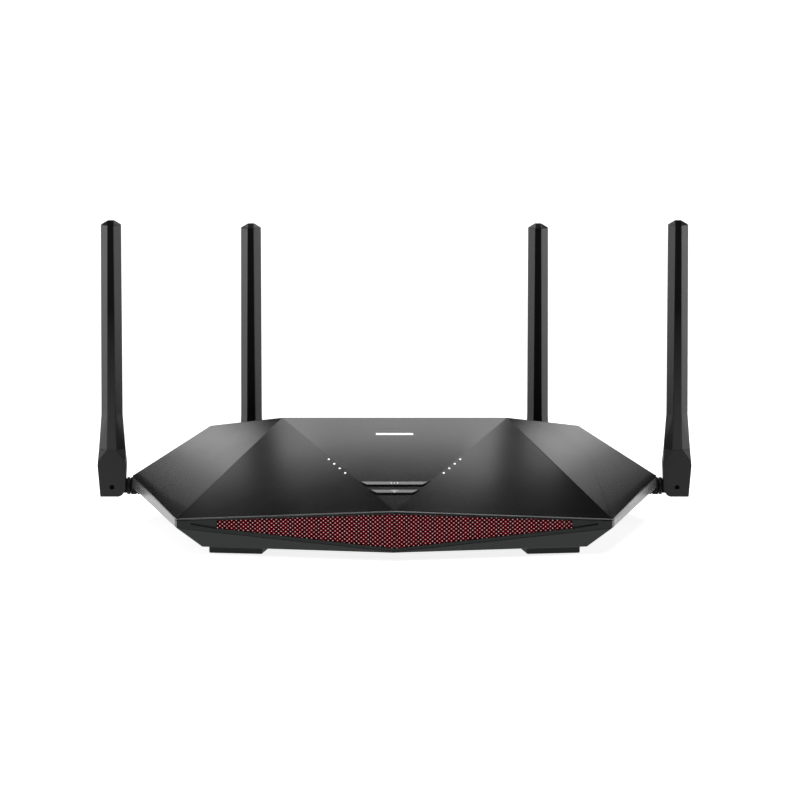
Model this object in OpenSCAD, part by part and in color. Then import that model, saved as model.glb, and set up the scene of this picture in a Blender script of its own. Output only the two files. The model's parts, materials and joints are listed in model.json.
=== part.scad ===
// Wireless router: a low faceted housing with four antennas that swivel and tilt.
// Millimetres. +Z is up, the front faces -Y, and the origin is on the table under
// the middle of the whole object. Most modules first move to the front corners'
// line, so that their own Y runs back from there.

/* [Housing] */
// Width across the two widest corners
body_w = 296; // [292:1:300]
// Depth from the nose to the rear edge
body_d = 200; // [198:1:203]
// Height of the ridge above the table
body_h = 65; // [63:0.5:66.5]
// How far the nose stands ahead of the front corners
nose_d = 21; // [19:1:23]
// Wall thickness of the covers
wall = 2.4; // [2:0.1:2.6]
// Height of the rubber feet under the housing
foot_h = 5; // [4.5:0.5:5.5]

/* [Front] */
// Half width of the mesh window
window_x = 96.5; // [90:0.5:100]
// Depth of the window pocket in the bezel
pocket_d = 2; // [1.6:0.1:2.4]
// Thickness of the mesh sheet
mesh_t = 0.8; // [0.5:0.1:1]

/* [Buttons] */
// Travel of the two top buttons
top_travel = 0.8; // [0.5:0.1:0.8]
// Travel of the power button
power_travel = 2; // [1.5:0.1:2]

/* [Antennas] */
// Length from the tilt pin to the tip of the paddle
antenna_len = 151.7; // [140:0.1:160]
// Distance from the tilt pin to the face that the antenna is screwed to
pin_reach = 18; // [18:0.5:20]
// Radius of the tilt pin
pin_r = 1.3; // [1.2:0.05:1.4]
// Running clearance around the tilt pin
pin_gap = 0.05; // [0.03:0.01:0.08]

/* [Hidden] */
$fn = 48;

// ---- Frame ----
paddle_half = 8.2;
panel_back = body_d - nose_d - 3;
back_pin_y = panel_back + pin_reach;
y_front = nose_d - (nose_d + back_pin_y + paddle_half) / 2;

// ---- Housing corners, right half, Y measured from the front corners ----
rim_front = 20.3;
rim_rise = 0.053;
strip_h = 4.9;
strip_rise = 0.038;
function rim_z(y) = rim_front + rim_rise * y;
function under_strip(p) = [p.x, p.y, rim_front - strip_h + strip_rise * p.y];
function plane_z(a, b, c, x, y) =
    let (n = cross(b - a, c - a)) a.z - (n.x * (x - a.x) + n.y * (y - a.y)) / n.z;
corner_x = 118.4;
nose_z = 27.7;
ridge_x = 62.7;
ridge_y = 86;
rear_y = body_d - nose_d;
apex = [0, -nose_d, nose_z];
front_c = [corner_x, 0, rim_z(0)];
ridge_c = [ridge_x, ridge_y, body_h];
wide_c = [body_w / 2, 125, rim_z(125)];
shoulder_c = [104.3, 142.7, plane_z(front_c, ridge_c, wide_c, 104.3, 142.7)];
rear_c = [128, rear_y, rim_z(rear_y)];
rear_top_c = [108, rear_y, plane_z(shoulder_c, wide_c, rear_c, 108, rear_y)];
floor_front_c = [104.6, 1.3, foot_h];
floor_wide_c = [130, 122, foot_h];
floor_rear_c = [112, rear_y - 3, foot_h];
floor_nose = [0, -nose_d, foot_h];
side_corners = [front_c, ridge_c, wide_c, shoulder_c, rear_c, rear_top_c, under_strip(front_c),
    under_strip(wide_c), under_strip(rear_c), floor_front_c, floor_wide_c, floor_rear_c];
function both(pts) = [for (p = pts) each [p, [-p.x, p.y, p.z]]];
corners = concat([apex, floor_nose], both(side_corners));
mid_y = rear_y / 2 - nose_d / 2;
function inward(p) = [p.x * (1 - 2 * wall / body_w),
    mid_y + (p.y - mid_y) * (1 - 2 * wall / body_d),
    p.z + (p.z > rim_z(p.y) - strip_h / 2 ? -1.1 : 0.9) * wall];

// ---- Split lines ----
rim_lip = 0.7;
seam = 0.3;
bezel_lip = 0.9;
bezel_t = 5;
bezel_gap = 0.15;
bezel_low_z = 5.8;
face_slope = nose_d / corner_x;
face_end_x = 130;

// ---- Mesh window: half heights at the middle and the ends ----
window_top = [0, 26.1];
window_bottom = [0, 7.2];
window_end_top = [window_x, 20.2];
window_end_low = [window_x, 15.8];
slot_tip = [110.6, 17.8];
slot_depth = 1.6;

// ---- The raised centre panel: its own frame has Y up the slope and Z out of it ----
deck_tilt = atan2(body_h - nose_z, ridge_y + nose_d);
deck_len = norm([body_h - nose_z, ridge_y + nose_d]);
function deck_half(s) = ridge_x * s / deck_len;
wifi_s = [19.6, 25.8];
wps_s = [29.3, 35.5];
pocket_inset = 0.25;
button_gap = pocket_inset + 0.75;
key_front = 0.8;
key_rear = 0.35;
led_s = [45.9, 51.4, 56.9, 62.4];
led_out = 1.55;
pipe_r = 0.55;
bar_s = 92.9;
bar_size = [20.6, 2];
board_z = -7.4;
board_t = 1.6;
plunger_h = 2.1;
key_low = board_z + plunger_h + top_travel + 0.3;
front_board_posts = [[-30, 88], [30, 88], [0, 46]];

// ---- Inside ----
floor_top = foot_h + 0.9 * wall;
pcb_z = 13;
pcb_top = pcb_z + board_t;
post_joint_z = 26;
case_posts = [[60, 12], [112, 90], [108, 150]];
board_posts = [[80, 30], [80, 122], [66, 152]];
recess_x = 110;
recess_top = 35.5;
panel_t = 2;
jack_back = panel_back + 1;
jack_deep = 21.5;
jack_h = 13.5;
port_pitch = 14.5;
wan_x = 15;
lan_x = -25;
usb_x = 35.5;
dc_x = 49;
power_x = 62;
reset_x = -62;
power_z = 21;
switch_back = panel_back - 8.2;
reset_z = 18;
chip_h = 1.2;
pad_h = 0.8;

// ---- Antennas: where each tilt pin is, and the turn of its own frame about Z ----
side_pin = [160.6, 150, 17.7];
back_pin = [82.4, back_pin_y, 11.8];
antennas = [[-side_pin.x, side_pin.y, side_pin.z, 0], [side_pin.x, side_pin.y, side_pin.z, 180],
    [-back_pin.x, back_pin.y, back_pin.z, -90], [back_pin.x, back_pin.y, back_pin.z, -90]];
thread_r = 3.1;
boss_r = 5.7;
boss_wall = 1;
nut_r = 4.95;

// ---- Hand-set routes of the left coax leads, Y from the front corners ----
side_lead = [[-134.6, 150, 17.7], [-131, 150, 17.7], [-127, 149.5, 17.7], [-123, 147.5, 17.7],
    [-119.5, 144, 17.8], [-117, 139.5, 17.9], [-114, 135, 18], [-110, 131, 18], [-105, 127, 18],
    [-100, 122.5, 17.8], [-95.5, 117.5, 17.2], [-91.5, 112.5, 16.4], [-88.5, 108, 15.8],
    [-86, 104, 15.6]];
back_lead = [[-82.4, 168, 11.8], [-82.4, 164, 11.8], [-82.3, 160, 11.9], [-82, 156, 12.5],
    [-81.4, 152, 13.7], [-80.6, 148, 15.2], [-79.6, 144, 16.7], [-78.6, 140, 17.7],
    [-77.6, 135.5, 18], [-76.6, 131, 17.9], [-75.7, 126.5, 17.3], [-75, 122, 16.4],
    [-74.3, 118, 15.8], [-74, 114, 15.6]];
lead_r = 0.9;
plug_r = 1.6;

// ==== Shared shapes ====
module in_place() translate([0, y_front, 0]) children();
module convex(pts) hull() polyhedron(pts, [[for (i = [0:len(pts) - 1]) i]]);
module outer_form() convex(corners);
module inner_form() convex([for (p = corners) inward(p)]);
module along_x(x0, x1, yz) translate([x0, 0, 0]) rotate([90, 0, 90])
    linear_extrude(x1 - x0) polygon(yz);
module along_y(y0, y1, xz) translate([0, y1, 0]) rotate([90, 0, 0])
    linear_extrude(y1 - y0) polygon(xz);
module block(lo, hi) translate(lo) cube(hi - lo);
module pair() { children(); mirror([1, 0, 0]) children(); }
module on_deck() translate(apex) rotate([deck_tilt, 0, 0]) children();
module rod_y(x, z, r, y0, y1) translate([x, y1, z]) rotate([90, 0, 0]) cylinder(h = y1 - y0, r = r);
module rod_x(x0, x1, r) translate([x0, 0, 0]) rotate([0, 90, 0]) cylinder(h = x1 - x0, r = r);
module post(p, r, z0, z1) translate([p.x, p.y, z0]) cylinder(h = z1 - z0, r = r);

// Everything above (side 1) or below (side -1) the sloping rim plane, shifted by dz
module rim_half(side, dz) {
    far = side * 90;
    along_x(-170, 170, [[-40, rim_z(-40) + dz], [230, rim_z(230) + dz],
        [230, rim_z(230) + dz + far], [-40, rim_z(-40) + dz + far]]);
}

// Plan band that follows the vee of the front face, between two depths behind it
module face_band(d0, d1, z0 = 0, z1 = 40) {
    end_y = face_slope * face_end_x - nose_d;
    translate([0, 0, z0]) linear_extrude(z1 - z0) polygon([[-face_end_x, end_y + d0],
        [0, d0 - nose_d], [face_end_x, end_y + d0], [face_end_x, end_y + d1],
        [0, d1 - nose_d], [-face_end_x, end_y + d1]]);
}

// Front outline of the bezel, widened by grow
function face_line(z0, z1, x) = z0 + (z1 - z0) * x / corner_x;
module bezel_zone(grow = 0) {
    top_nose = nose_z - bezel_lip + grow;
    top_end = face_line(nose_z, rim_front, face_end_x) - bezel_lip + grow;
    low_nose = bezel_low_z - grow;
    low_end = face_line(bezel_low_z, rim_front - strip_h, face_end_x) - grow;
    intersection() {
        along_y(-nose_d - 20, 40, [[-face_end_x, top_end], [0, top_nose], [face_end_x, top_end],
            [face_end_x, low_end], [0, low_nose], [-face_end_x, low_end]]);
        face_band(-20, bezel_t + grow);
    }
}

// Outline of the mesh window, shrunk by gap
module window_form(gap, d0, d1) intersection() {
    along_y(-nose_d - 20, 40, [[-window_x + gap, window_end_top.y - gap],
        window_top - [0, gap], [window_x - gap, window_end_top.y - gap],
        [window_x - gap, window_end_low.y + gap], window_bottom + [0, gap],
        [-window_x + gap, window_end_low.y + gap]]);
    face_band(d0, d1);
}

// Trapezoid between the deck's edges from s.x to s.y, pulled in by gap
module deck_trapezoid(s, gap, z0, z1) translate([0, 0, z0]) linear_extrude(z1 - z0)
    polygon([[-deck_half(s.x) + gap, s.x + gap], [deck_half(s.x) - gap, s.x + gap],
        [deck_half(s.y) - gap, s.y - gap], [-deck_half(s.y) + gap, s.y - gap]]);
module at_leds() for (s = led_s) translate([deck_half(s) + led_out, s, 0]) children();
module at_bar(size, z0, z1) translate([-size.x / 2, bar_s - size.y / 2, z0])
    cube([size.x, size.y, z1 - z0]);

module at_antenna(i) translate([antennas[i].x, antennas[i].y, antennas[i].z])
    rotate([0, 0, antennas[i][3]]) children();

// ==== Housing ====
module top_cover() color([0.05, 0.05, 0.06]) in_place() difference() {
    intersection() {
        outer_form();
        rim_half(1, seam - rim_lip);
    }
    difference() {
        inner_form();
        pair() for (p = case_posts) post(p, 3.5, post_joint_z, body_h);
        on_deck() for (p = front_board_posts) translate([p.x, p.y, board_z]) cylinder(h = 6, r = 2.5);
    }
    bezel_zone(bezel_gap);
    block([-recess_x, panel_back, 0], [recess_x, rear_y + 1, recess_top]);
    pair() for (p = case_posts) post(p, 1.35, post_joint_z - 1, post_joint_z + 6);
    on_deck() {
        for (p = front_board_posts) translate([p.x, p.y, board_z - 1]) cylinder(h = 5, r = 0.95);
        deck_trapezoid(wifi_s, pocket_inset, -8, 3);
        deck_trapezoid(wps_s, pocket_inset, -8, 3);
        pair() at_leds() translate([0, 0, -8]) cylinder(h = 10, r = pipe_r + 0.1);
        at_bar([bar_size.x + 0.2, bar_size.y + 0.2], -8, 2);
    }
    for (x = [-63:7:63]) block([x - 1.3, 100, 30], [x + 1.3, 134, 70]);
    for (x = [-84:7:84]) block([x - 1.3, 149, 30], [x + 1.3, 171, 70]);
}

module keyhole() {
    post([0, 0], 4, foot_h - 1, floor_top + 1);
    block([-2, 0, foot_h - 1], [2, 9, floor_top + 1]);
    post([0, 9], 2, foot_h - 1, floor_top + 1);
}

module foot_pocket(grow, z0, z1) {
    translate([-101.4, 11.5, z0]) rotate([0, 0, -9.1])
        block([-grow, -grow, 0], [29.7 + grow, 18 + grow, z1 - z0]);
}
module rear_foot_pocket(grow, z0, z1)
    block([-102 - grow, 148 - grow, z0], [-74 + grow, 166 + grow, z1]);

module bottom_cover() color([0.06, 0.06, 0.065]) in_place() difference() {
    union() {
        difference() {
            intersection() {
                outer_form();
                rim_half(-1, -rim_lip);
            }
            inner_form();
        }
        pair() {
            for (p = case_posts) post(p, 5, floor_top - 0.5, post_joint_z - 0.3);
            for (p = board_posts) post(p, 3.2, floor_top - 0.5, pcb_z);
            translate([side_pin.x - pin_reach - 14, side_pin.y, side_pin.z]) rod_x(0, 14, boss_r);
        }
    }
    bezel_zone(bezel_gap);
    block([-recess_x, panel_back, foot_h - 1], [recess_x, rear_y + 1, recess_top]);
    block([-recess_x, panel_back - panel_t - 0.4, floor_top], [recess_x, rear_y, recess_top]);
    pair() {
        for (p = case_posts) {
            post(p, 3.2, foot_h - 1, foot_h + 2.6);
            post(p, 1.6, foot_h, post_joint_z + 1);
        }
        for (p = board_posts) post(p, 1.3, floor_top, pcb_z + 1);
        foot_pocket(0, foot_h - 1, foot_h + 1);
        rear_foot_pocket(0, foot_h - 1, foot_h + 1);
        translate([70, 100, 0]) keyhole();
        for (i = [0:8]) block([36, 24 + 6.5 * i, foot_h - 1], [62, 26.6 + 6.5 * i, floor_top + 1]);
        translate([0, side_pin.y, side_pin.z]) {
            rod_x(side_pin.x - pin_reach - 16, side_pin.x - pin_reach - 2, boss_r - boss_wall);
            rod_x(side_pin.x - pin_reach - 3, side_pin.x - pin_reach + 1, thread_r + 0.1);
        }
    }
    block([-30, 62, foot_h - 1], [30, 104, foot_h + 0.3]);
}

module rating_label() color([0.75, 0.75, 0.76]) in_place()
    block([-29.8, 62.2, foot_h], [29.8, 103.8, foot_h + 0.3]);

module front_bezel() color([0.04, 0.04, 0.05]) in_place() difference() {
    union() {
        intersection() {
            outer_form();
            bezel_zone();
        }
        for (x = [-84, -40, 40, 84])
            block([x - 4, face_slope * abs(x) - nose_d + 4.5, 17],
                [x + 4, face_slope * abs(x) - nose_d + 8, 19]);
    }
    window_form(0, -20, pocket_d);
    pair() intersection() {
        along_y(-nose_d - 20, 40, [[slot_tip.x, slot_tip.y + 0.6], [slot_tip.x, slot_tip.y - 0.3],
            [window_x - 1, window_end_low.y - 0.5], [window_x - 1, window_end_low.y + 1]]);
        face_band(-20, slot_depth);
    }
}

module front_grille() color([0.45, 0.03, 0.06]) in_place()
    window_form(0.1, pocket_d - mesh_t, pocket_d);

module rear_panel() color([0.07, 0.07, 0.08]) in_place() difference() {
    block([-recess_x + 0.2, panel_back - panel_t, floor_top + 0.1],
        [recess_x - 0.2, panel_back, recess_top - 0.2]);
    block([lan_x - 2 * port_pitch - 0.3, panel_back - 5, pcb_top - 0.2],
        [lan_x + 2 * port_pitch + 0.3, panel_back + 1, pcb_top + jack_h + 0.3]);
    block([wan_x - 8.3, panel_back - 5, pcb_top - 0.2],
        [wan_x + 8.3, panel_back + 1, pcb_top + jack_h + 0.3]);
    block([usb_x - 7, panel_back - 5, pcb_top - 0.2], [usb_x + 7, panel_back + 1, pcb_top + 7.6]);
    rod_y(dc_x, pcb_top + 6.2, 4.4, panel_back - 5, panel_back + 1);
    block([power_x - 4.2, panel_back - 5, power_z - 4.2], [power_x + 4.2, panel_back + 1, power_z + 4.2]);
    rod_y(reset_x, reset_z, 1, panel_back - 5, panel_back + 1);
    pair() rod_y(back_pin.x, back_pin.z, thread_r + 0.1, panel_back - 5, panel_back + 1);
}

module foot_front_left() color([0.12, 0.12, 0.12]) in_place() foot_pocket(-0.1, 0, foot_h + 1);
module foot_front_right() color([0.12, 0.12, 0.12]) in_place() mirror([1, 0, 0])
    foot_pocket(-0.1, 0, foot_h + 1);
module foot_rear_left() color([0.12, 0.12, 0.12]) in_place() rear_foot_pocket(-0.1, 0, foot_h + 1);
module foot_rear_right() color([0.12, 0.12, 0.12]) in_place() mirror([1, 0, 0])
    rear_foot_pocket(-0.1, 0, foot_h + 1);

// ==== Lights and buttons on the centre panel ====
module light_bar() color([0.95, 0.95, 0.95]) in_place() on_deck() {
    at_bar(bar_size, -3.6, 0.05);
    at_bar([bar_size.x + 3, bar_size.y + 1.6], -4.4, -2.9);
}

module light_pipes() {
    at_leds() translate([0, 0, -4.8]) cylinder(h = 4.75, r = pipe_r);
    s0 = led_s[0] - 2;
    s1 = led_s[3] + 2;
    translate([0, 0, -4.8]) linear_extrude(0.9) polygon([[deck_half(s0) + led_out - 1, s0],
        [deck_half(s0) + led_out + 1, s0], [deck_half(s1) + led_out + 1, s1],
        [deck_half(s1) + led_out - 1, s1]]);
}
module light_pipes_right() color([0.9, 0.92, 0.95]) in_place() on_deck() light_pipes();
module light_pipes_left() color([0.9, 0.92, 0.95]) in_place() on_deck() mirror([1, 0, 0])
    light_pipes();

module deck_button(s) {
    intersection() {
        deck_trapezoid(s, button_gap, key_low + 0.2, 2);
        along_x(-30, 30, [[s.x, key_low], [s.x, key_front], [s.y, key_rear], [s.y, key_low]]);
    }
    difference() {
        deck_trapezoid([s.x - 0.9, s.y + 0.9], 0, key_low, key_low + 0.95);
        block([-30, s.x - 1.3, -6], [-deck_half(s.y) - 0.4, s.y + 2, 0]);
        block([deck_half(s.y) + 0.4, s.x - 1.3, -6], [30, s.y + 2, 0]);
    }
}
module wifi_button() color([0.1, 0.1, 0.11]) in_place() on_deck() deck_button(wifi_s);
module wps_button() color([0.1, 0.1, 0.11]) in_place() on_deck() deck_button(wps_s);

module power_button() color([0.1, 0.1, 0.11]) in_place() {
    block([power_x - 3.95, panel_back - 3, power_z - 3.95], [power_x + 3.95, rear_y, power_z + 3.95]);
    block([power_x - 4.8, panel_back - panel_t - 1.6, power_z - 4.8],
        [power_x + 4.8, panel_back - panel_t - 0.2, power_z + 4.8]);
    block([power_x - 1.8, switch_back + power_travel + 0.2, power_z - 1.8],
        [power_x + 1.8, panel_back - 3, power_z + 1.8]);
}
module reset_button() color([0.6, 0.6, 0.58]) in_place()
    rod_y(reset_x, reset_z, 1.2, panel_back - 9.8, panel_back - panel_t - 0.6);

module front_board() color([0.05, 0.25, 0.12]) in_place() on_deck() difference() {
    translate([0, 0, board_z - board_t]) linear_extrude(board_t)
        polygon([[-20, 17], [20, 17], [39, 40], [39, 97], [-39, 97], [-39, 40]]);
    for (p = front_board_posts) translate([p.x, p.y, board_z - 3]) cylinder(h = 5, r = 1.2);
}
module front_board_leds() color([0.95, 0.95, 0.85]) in_place() on_deck() {
    pair() at_leds() translate([-0.8, -0.8, board_z]) cube([1.6, 1.6, 0.8]);
    for (x = [-5, 5]) translate([x - 1.4, bar_s - 1.4, board_z]) cube([2.8, 2.8, 1]);
}
module front_board_screws() color([0.6, 0.6, 0.6]) in_place() on_deck()
    for (p = front_board_posts) translate([p.x, p.y, board_z - board_t]) {
        translate([0, 0, -1.4]) cylinder(h = 1.4, r = 2);
        cylinder(h = 4.5, r = 0.9);
    }
module ribbon_cable() color([0.85, 0.85, 0.85]) in_place() along_x(-6, 6,
    [[11.3, 27.4], [11.9, 24.6], [15, 21], [20.5, 18.4], [26.5, 17.3], [30, 17.2], [30, 17.5],
    [26.5, 17.6], [20.7, 18.7], [15.3, 21.3], [12.2, 24.7], [11.6, 27.5]]);

// Housings of the switches behind the buttons, and the two ribbon sockets
module switch_housings() color([0.15, 0.15, 0.15]) in_place() {
    on_deck() for (s = [wifi_s, wps_s]) translate([0, (s.x + s.y) / 2, board_z]) {
        translate([-3, -2.9, 0]) cube([6, 5.8, 1.2]);
        cylinder(h = plunger_h, r = 1.6);
    }
    on_deck() block([-8, 29.5, board_z - board_t - 1.6], [8, 32.5, board_z - board_t]);
    block([-8, 26.5, pcb_top], [8, 31, pcb_top + 2.5]);
    difference() {
        block([reset_x - 3, panel_back - 14, pcb_top], [reset_x + 3, panel_back - 8, pcb_top + 6.4]);
        rod_y(reset_x, reset_z, 1.3, panel_back - 10.6, panel_back - 7);
    }
    block([power_x - 4.5, panel_back - 18, pcb_top], [power_x + 4.5, switch_back, pcb_top + 10.5]);
}

// ==== Main board and what stands on it ====
module main_board() color([0.05, 0.3, 0.14]) in_place() difference() {
    translate([0, 0, pcb_z]) linear_extrude(board_t) polygon([[-88, 24], [88, 24], [88, 130],
        [72, 130], [72, panel_back - 3], [-72, panel_back - 3], [-72, 130], [-88, 130]]);
    pair() for (p = board_posts) post(p, 1.7, pcb_z - 1, pcb_top + 1);
    pair() for (y = [56, 119]) post([29, y], 1.4, pcb_z - 1, pcb_top + 1);
}
module processor() color([0.08, 0.08, 0.09]) in_place()
    block([-10, 76, pcb_top], [10, 96, pcb_top + chip_h]);
module memory_chips() color([0.08, 0.08, 0.09]) in_place() {
    block([-24, 106, pcb_top], [-12, 116, pcb_top + 1]);
    block([12, 106, pcb_top], [20, 114, pcb_top + 1]);
}
module wifi_chips() color([0.08, 0.08, 0.09]) in_place() pair() {
    block([50, 64, pcb_top], [60, 74, pcb_top + 1]);
    block([52, 82, pcb_top], [56, 86, pcb_top + 0.8]);
    block([62, 80, pcb_top], [66, 84, pcb_top + 0.8]);
}
module rf_shields() color([0.75, 0.75, 0.77]) in_place() pair() difference() {
    block([40, 56, pcb_top], [72, 98, pcb_top + 3.6]);
    block([40.3, 56.3, pcb_top - 1], [71.7, 97.7, pcb_top + 3.3]);
}
module thermal_pad() color([0.55, 0.6, 0.75]) in_place()
    block([-10, 76, pcb_top + chip_h], [10, 96, pcb_top + chip_h + pad_h]);
module heat_sink() color([0.7, 0.7, 0.72]) in_place() {
    base = pcb_top + chip_h + pad_h;
    difference() {
        union() {
            block([-34, 50, base], [34, 125, base + 2.5]);
            for (x = [-34:5.56:33]) block([x, 62, base + 2.4], [x + 1.2, 113, base + 12]);
        }
        pair() for (y = [56, 119]) post([29, y], 1.5, base - 1, base + 3);
    }
}
module heat_sink_screws() color([0.5, 0.5, 0.52]) in_place() pair() for (y = [56, 119]) {
    base = pcb_top + chip_h + pad_h;
    post([29, y], 1.3, pcb_z - 1, base + 2.5);
    post([29, y], 2.6, base + 2.5, base + 4.2);
}
module lan_transformers() color([0.1, 0.1, 0.1]) in_place() {
    for (x = [-46, -25, -4]) block([x - 8, 138, pcb_top], [x + 8, 148, pcb_top + 5.5]);
    block([wan_x - 6, 138, pcb_top], [wan_x + 6, 148, pcb_top + 5.5]);
}
module capacitors() color([0.2, 0.2, 0.25]) in_place() {
    for (x = [36, 47]) post([x, 142], 4, pcb_top, pcb_top + 11);
    post([56, 132], 3.2, pcb_top, pcb_top + 9);
    block([38, 124, pcb_top], [46, 132, pcb_top + 4.5]);
}
module board_screws() color([0.6, 0.6, 0.6]) in_place() pair() for (p = board_posts) {
    post(p, 2.8, pcb_top, pcb_top + 2);
    post(p, 1.25, floor_top + 0.6, pcb_top + 0.1);
}
module case_screws() color([0.2, 0.2, 0.2]) in_place() pair() for (p = case_posts) {
    post(p, 2.8, foot_h + 0.6, foot_h + 2.6);
    post(p, 1.3, foot_h + 2.5, post_joint_z + 5);
}

// ==== Rear sockets ====
port_w = 11.7;
port_h = 7.6;
port_deep = 14;
port_z = pcb_top + 3.2;

// One plug opening with the notch for the plug's latch under it
module port_opening(x) {
    block([x - port_w / 2, jack_back - port_deep, port_z], [x + port_w / 2, jack_back + 1, port_z + port_h]);
    block([x - 3.2, jack_back - port_deep + 4, port_z - 1.5], [x + 3.2, jack_back + 1, port_z + 0.1]);
}
module wan_jack() color([0.85, 0.65, 0.1]) in_place() difference() {
    block([wan_x - 8, jack_back - jack_deep, pcb_top], [wan_x + 8, jack_back, pcb_top + jack_h]);
    port_opening(wan_x);
}
module lan_jack() color([0.1, 0.1, 0.1]) in_place() difference() {
    block([lan_x - 2 * port_pitch, jack_back - jack_deep, pcb_top],
        [lan_x + 2 * port_pitch, jack_back, pcb_top + jack_h]);
    for (i = [-1.5:1:1.5]) port_opening(lan_x + i * port_pitch);
}
module jack_contacts() color([0.85, 0.7, 0.35]) in_place()
    for (x = concat([wan_x], [for (i = [-1.5:1:1.5]) lan_x + i * port_pitch]), k = [-3.5:1:3.5])
        translate([x + k * 1.02 - 0.2, 0, 0]) along_x(0, 0.4, [
            [jack_back - port_deep, port_z + port_h], [jack_back - port_deep, port_z + port_h - 2.6],
            [jack_back - port_deep + 0.5, port_z + port_h - 2.6],
            [jack_back - 6, port_z + port_h - 0.5], [jack_back - 6, port_z + port_h]]);

module usb_jack() color([0.15, 0.35, 0.75]) in_place() {
    z0 = pcb_top + 1;
    difference() {
        block([usb_x - 6.8, jack_back - 17, z0 - 1], [usb_x + 6.8, jack_back, z0 + 6.4]);
        block([usb_x - 6.2, jack_back - 12, z0 + 0.5], [usb_x + 6.2, jack_back + 1, z0 + 5.7]);
    }
    block([usb_x - 5.5, jack_back - 12.5, z0 + 2.9], [usb_x + 5.5, jack_back - 1.5, z0 + 4.7]);
}
module dc_jack() color([0.1, 0.1, 0.1]) in_place() {
    z0 = pcb_top + 6.2;
    difference() {
        union() {
            block([dc_x - 4.6, jack_back - 14.5, pcb_top],
                [dc_x + 4.6, panel_back - panel_t - 0.2, z0 + 4.6]);
            rod_y(dc_x, z0, 4.2, panel_back - panel_t - 1, jack_back);
        }
        rod_y(dc_x, z0, 3.1, jack_back - 10, jack_back + 1);
    }
    rod_y(dc_x, z0, 1.05, jack_back - 10.5, jack_back - 1);
}

// ==== Antenna sockets and leads ====
module antenna_jacks() color([0.8, 0.65, 0.3]) in_place() for (i = [0:3]) at_antenna(i) difference() {
    union() {
        rod_x(pin_reach - 4, pin_reach + 8, thread_r);
        rod_x(pin_reach - 0.35, pin_reach, 4.4);
    }
    rod_x(pin_reach - 5, pin_reach + 1, 1);
}
module antenna_jack_nuts() color([0.75, 0.75, 0.72]) in_place() for (i = [0:3]) at_antenna(i)
    difference() {
        translate([pin_reach + 2, 0, 0]) rotate([0, 90, 0]) cylinder(h = 2.2, r = 4.5, $fn = 6);
        rod_x(pin_reach, pin_reach + 6, thread_r);
    }
module coupling_nuts() color([0.07, 0.07, 0.07]) in_place() for (i = [0:3]) at_antenna(i) difference() {
    rod_x(10.4, pin_reach - 0.4, nut_r);
    rod_x(9, 13, 2.25);
    rod_x(12.4, pin_reach + 1, thread_r + 0.05);
}

// Swept tube through hand-set points, its rings square to the route
function tangent(p, i) = let (a = p[max(i - 1, 0)], b = p[min(i + 1, len(p) - 1)]) (b - a) / norm(b - a);
function side_of(t) = let (s = cross(t, [0, 0, 1])) s / norm(s);
function ring(p, i, r, n) = let (t = tangent(p, i), a = side_of(t), b = cross(t, a))
    [for (k = [0:n - 1]) p[i] + r * (cos(360 * k / n) * a + sin(360 * k / n) * b)];
module tube(p, r, n = 8) {
    m = len(p);
    points = [for (i = [0:m - 1]) each ring(p, i, r, n)];
    sides = [for (i = [0:m - 2], k = [0:n - 1])
        [i * n + k, (i + 1) * n + k, (i + 1) * n + (k + 1) % n, i * n + (k + 1) % n]];
    polyhedron(points, concat([[for (k = [0:n - 1]) k]], sides,
        [[for (k = [0:n - 1]) m * n - 1 - k]]));
}
module coax_leads() color([0.1, 0.1, 0.1]) in_place() pair() for (route = [side_lead, back_lead]) {
    tube(route, lead_r);
    end = route[len(route) - 1];
    translate([end.x, end.y - 1.2, pcb_top]) cylinder(h = 2.2, r = plug_r);
}

// ==== Antennas, each in its own frame: X to the housing, Y along the tilt pin ====
tongue_t = 5.6;
slot_t = 6.2;
base_d = 6.9;
shoulder_z = 15;
neck_z = 21.4;
body_z = 41;
body_half = 6;
tip_half = 5.7;
stripe_half = [2.8, 2.3, 1.7];

// Eight-sided section: half width w, half depth d, half widths of the front and side flats
function section(z, w, d, front, side) = [for (a = [-1, 1], b = [-1, 1])
    each [[a * front, b * d, z], [a * w, b * side, z]]];

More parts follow.
